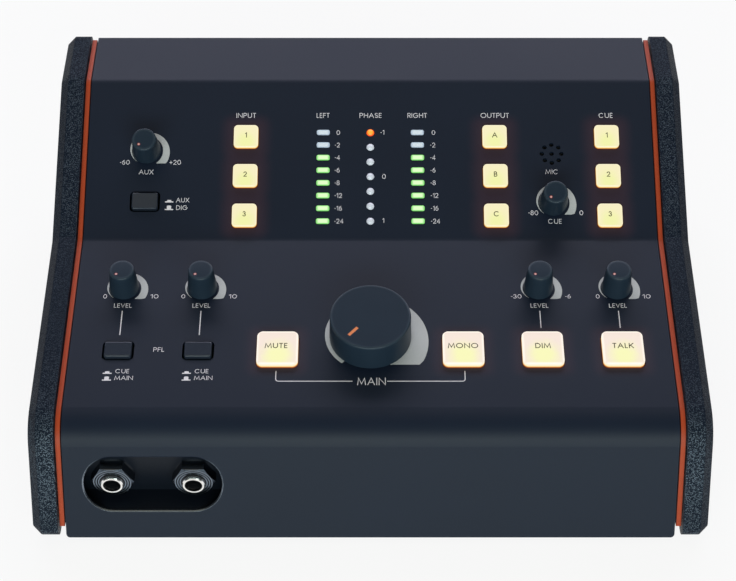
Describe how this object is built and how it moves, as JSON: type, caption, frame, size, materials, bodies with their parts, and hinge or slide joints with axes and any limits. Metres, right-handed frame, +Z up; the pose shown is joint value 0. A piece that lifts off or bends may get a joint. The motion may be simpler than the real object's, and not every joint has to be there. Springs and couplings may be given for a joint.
{
  "type": "studio monitor controller",
  "caption": "Sloped desktop controller with textured side cheeks, level knobs, lit select keys, level and phase lamps, a talkback microphone and headphone sockets.",
  "frame": {"origin": "on the table under the feet, midway between the cheeks and midway along them", "axes": "+X to the right across the console, +Y to the rear, +Z up"},
  "size_m": [0.2498, 0.199, 0.0845],
  "materials": {
    "shell_paint": "fine satin powder coat",
    "cheek_texture": "coarse textured black",
    "trim_paint": "satin orange-red",
    "key_plastic": "translucent, lit from inside",
    "button_plastic": "satin black",
    "knob_plastic": "soft-touch black",
    "green_lamp": "diffusing, lit",
    "dark_lamp": "diffusing, unlit",
    "orange_lamp": "diffusing, lit",
    "bright_chrome": "polished",
    "nut_steel": "dark nickel plate",
    "zinc_steel": "zinc plate",
    "base_paint": "satin black",
    "socket_plastic": "moulded black",
    "board": "solder resist",
    "foot_rubber": "matte"
  },
  "bodies": {
    "console": {"top_shell": "shell_paint", "left_side_plate": "shell_paint", "right_side_plate": "shell_paint", "base_tray": "base_paint", "rear_panel": "shell_paint", "left_cheek": "cheek_texture", "right_cheek": "cheek_texture", "left_trim": "trim_paint", "right_trim": "trim_paint", "case_screws": "zinc_steel", "cheek_screws": "zinc_steel", "rubber_feet": "foot_rubber", "upper_board": "board", "lower_board": "board", "connector_board": "board", "board_pillars": "zinc_steel", "small_pots": "zinc_steel", "main_pot": "zinc_steel", "main_pot_nut": "nut_steel", "key_switches": "socket_plastic", "latch_switches": "socket_plastic", "peak_lamps": "dark_lamp", "level_lamps": "green_lamp", "phase_fault_lamp": "orange_lamp", "phase_lamps": "dark_lamp", "mic_capsule": "zinc_steel", "mic_boot": "foot_rubber", "jack_bracket": "shell_paint", "jack_bodies": "socket_plastic", "jack_bushes": "bright_chrome", "jack_nuts": "nut_steel", "coax_socket": "bright_chrome", "mini_socket": "socket_plastic", "power_inlet": "socket_plastic", "power_switch_frame": "socket_plastic"},
    "aux_level_knob": {"aux_level_knob": "knob_plastic"},
    "cue_level_knob": {"cue_level_knob": "knob_plastic"},
    "phones_1_knob": {"phones_1_knob": "knob_plastic"},
    "phones_2_knob": {"phones_2_knob": "knob_plastic"},
    "dim_level_knob": {"dim_level_knob": "knob_plastic"},
    "talk_level_knob": {"talk_level_knob": "knob_plastic"},
    "main_knob": {"main_knob": "knob_plastic", "main_shaft": "nut_steel"},
    "input_key_1": {"input_key_1": "key_plastic"},
    "input_key_2": {"input_key_2": "key_plastic"},
    "input_key_3": {"input_key_3": "key_plastic"},
    "output_key_1": {"output_key_1": "key_plastic"},
    "output_key_2": {"output_key_2": "key_plastic"},
    "output_key_3": {"output_key_3": "key_plastic"},
    "cue_key_1": {"cue_key_1": "key_plastic"},
    "cue_key_2": {"cue_key_2": "key_plastic"},
    "cue_key_3": {"cue_key_3": "key_plastic"},
    "mute_key": {"mute_key": "key_plastic"},
    "mono_key": {"mono_key": "key_plastic"},
    "dim_key": {"dim_key": "key_plastic"},
    "talk_key": {"talk_key": "key_plastic"},
    "aux_source_button": {"aux_source_button": "button_plastic"},
    "phones_1_button": {"phones_1_button": "button_plastic"},
    "phones_2_button": {"phones_2_button": "button_plastic"},
    "power_rocker": {"power_rocker": "button_plastic"}
  },
  "joints": [
    {"name": "aux_level_turn", "type": "hinge", "parent": "console", "child": "aux_level_knob", "pos_m": [-0.089, 0.04275, 0.06892], "axis": [0, -0.4337, 0.9011], "range_deg": [-276, 0]},
    {"name": "cue_level_turn", "type": "hinge", "parent": "console", "child": "cue_level_knob", "pos_m": [0.0722, 0.02265, 0.05925], "axis": [0, -0.4337, 0.9011], "range_deg": [-276, 0]},
    {"name": "phones_1_turn", "type": "hinge", "parent": "console", "child": "phones_1_knob", "pos_m": [-0.0943, -0.01607, 0.04995], "axis": [0, -0.1011, 0.9949], "range_deg": [-276, 0]},
    {"name": "phones_2_turn", "type": "hinge", "parent": "console", "child": "phones_2_knob", "pos_m": [-0.0644, -0.01607, 0.04995], "axis": [0, -0.1011, 0.9949], "range_deg": [-276, 0]},
    {"name": "dim_level_turn", "type": "hinge", "parent": "console", "child": "dim_level_knob", "pos_m": [0.0644, -0.01607, 0.04995], "axis": [0, -0.1011, 0.9949], "range_deg": [-276, 0]},
    {"name": "talk_level_turn", "type": "hinge", "parent": "console", "child": "talk_level_knob", "pos_m": [0.0943, -0.01607, 0.04995], "axis": [0, -0.1011, 0.9949], "range_deg": [-276, 0]},
    {"name": "main_level_turn", "type": "hinge", "parent": "console", "child": "main_knob", "pos_m": [0, -0.03915, 0.0476], "axis": [0, -0.1011, 0.9949], "range_deg": [-276, 0]},
    {"name": "input_key_1_press", "type": "slide", "parent": "console", "child": "input_key_1", "axis": [0, 0.4337, -0.9011], "range_m": [0, 0.001], "stiffness_N_per_m": 300, "springref_m": -0.0005},
    {"name": "input_key_2_press", "type": "slide", "parent": "console", "child": "input_key_2", "axis": [0, 0.4337, -0.9011], "range_m": [0, 0.001], "stiffness_N_per_m": 300, "springref_m": -0.0005},
    {"name": "input_key_3_press", "type": "slide", "parent": "console", "child": "input_key_3", "axis": [0, 0.4337, -0.9011], "range_m": [0, 0.001], "stiffness_N_per_m": 300, "springref_m": -0.0005},
    {"name": "output_key_1_press", "type": "slide", "parent": "console", "child": "output_key_1", "axis": [0, 0.4337, -0.9011], "range_m": [0, 0.001], "stiffness_N_per_m": 300, "springref_m": -0.0005},
    {"name": "output_key_2_press", "type": "slide", "parent": "console", "child": "output_key_2", "axis": [0, 0.4337, -0.9011], "range_m": [0, 0.001], "stiffness_N_per_m": 300, "springref_m": -0.0005},
    {"name": "output_key_3_press", "type": "slide", "parent": "console", "child": "output_key_3", "axis": [0, 0.4337, -0.9011], "range_m": [0, 0.001], "stiffness_N_per_m": 300, "springref_m": -0.0005},
    {"name": "cue_key_1_press", "type": "slide", "parent": "console", "child": "cue_key_1", "axis": [0, 0.4337, -0.9011], "range_m": [0, 0.001], "stiffness_N_per_m": 300, "springref_m": -0.0005},
    {"name": "cue_key_2_press", "type": "slide", "parent": "console", "child": "cue_key_2", "axis": [0, 0.4337, -0.9011], "range_m": [0, 0.001], "stiffness_N_per_m": 300, "springref_m": -0.0005},
    {"name": "cue_key_3_press", "type": "slide", "parent": "console", "child": "cue_key_3", "axis": [0, 0.4337, -0.9011], "range_m": [0, 0.001], "stiffness_N_per_m": 300, "springref_m": -0.0005},
    {"name": "mute_key_press", "type": "slide", "parent": "console", "child": "mute_key", "axis": [0, 0.1011, -0.9949], "range_m": [0, 0.001], "stiffness_N_per_m": 300, "springref_m": -0.0005},
    {"name": "mono_key_press", "type": "slide", "parent": "console", "child": "mono_key", "axis": [0, 0.1011, -0.9949], "range_m": [0, 0.001], "stiffness_N_per_m": 300, "springref_m": -0.0005},
    {"name": "dim_key_press", "type": "slide", "parent": "console", "child": "dim_key", "axis": [0, 0.1011, -0.9949], "range_m": [0, 0.001], "stiffness_N_per_m": 300, "springref_m": -0.0005},
    {"name": "talk_key_press", "type": "slide", "parent": "console", "child": "talk_key", "axis": [0, 0.1011, -0.9949], "range_m": [0, 0.001], "stiffness_N_per_m": 300, "springref_m": -0.0005},
    {"name": "aux_source_button_release", "type": "slide", "parent": "console", "child": "aux_source_button", "axis": [0, -0.4337, 0.9011], "range_m": [0, 0.0025]},
    {"name": "phones_1_button_release", "type": "slide", "parent": "console", "child": "phones_1_button", "axis": [0, -0.1011, 0.9949], "range_m": [0, 0.0025]},
    {"name": "phones_2_button_release", "type": "slide", "parent": "console", "child": "phones_2_button", "axis": [0, -0.1011, 0.9949], "range_m": [0, 0.0025]},
    {"name": "power_rocker_tilt", "type": "hinge", "parent": "console", "child": "power_rocker", "pos_m": [0.074, 0.08781, 0.053], "axis": [-1, 0, 0], "range_deg": [-20, 0]}
  ]
}
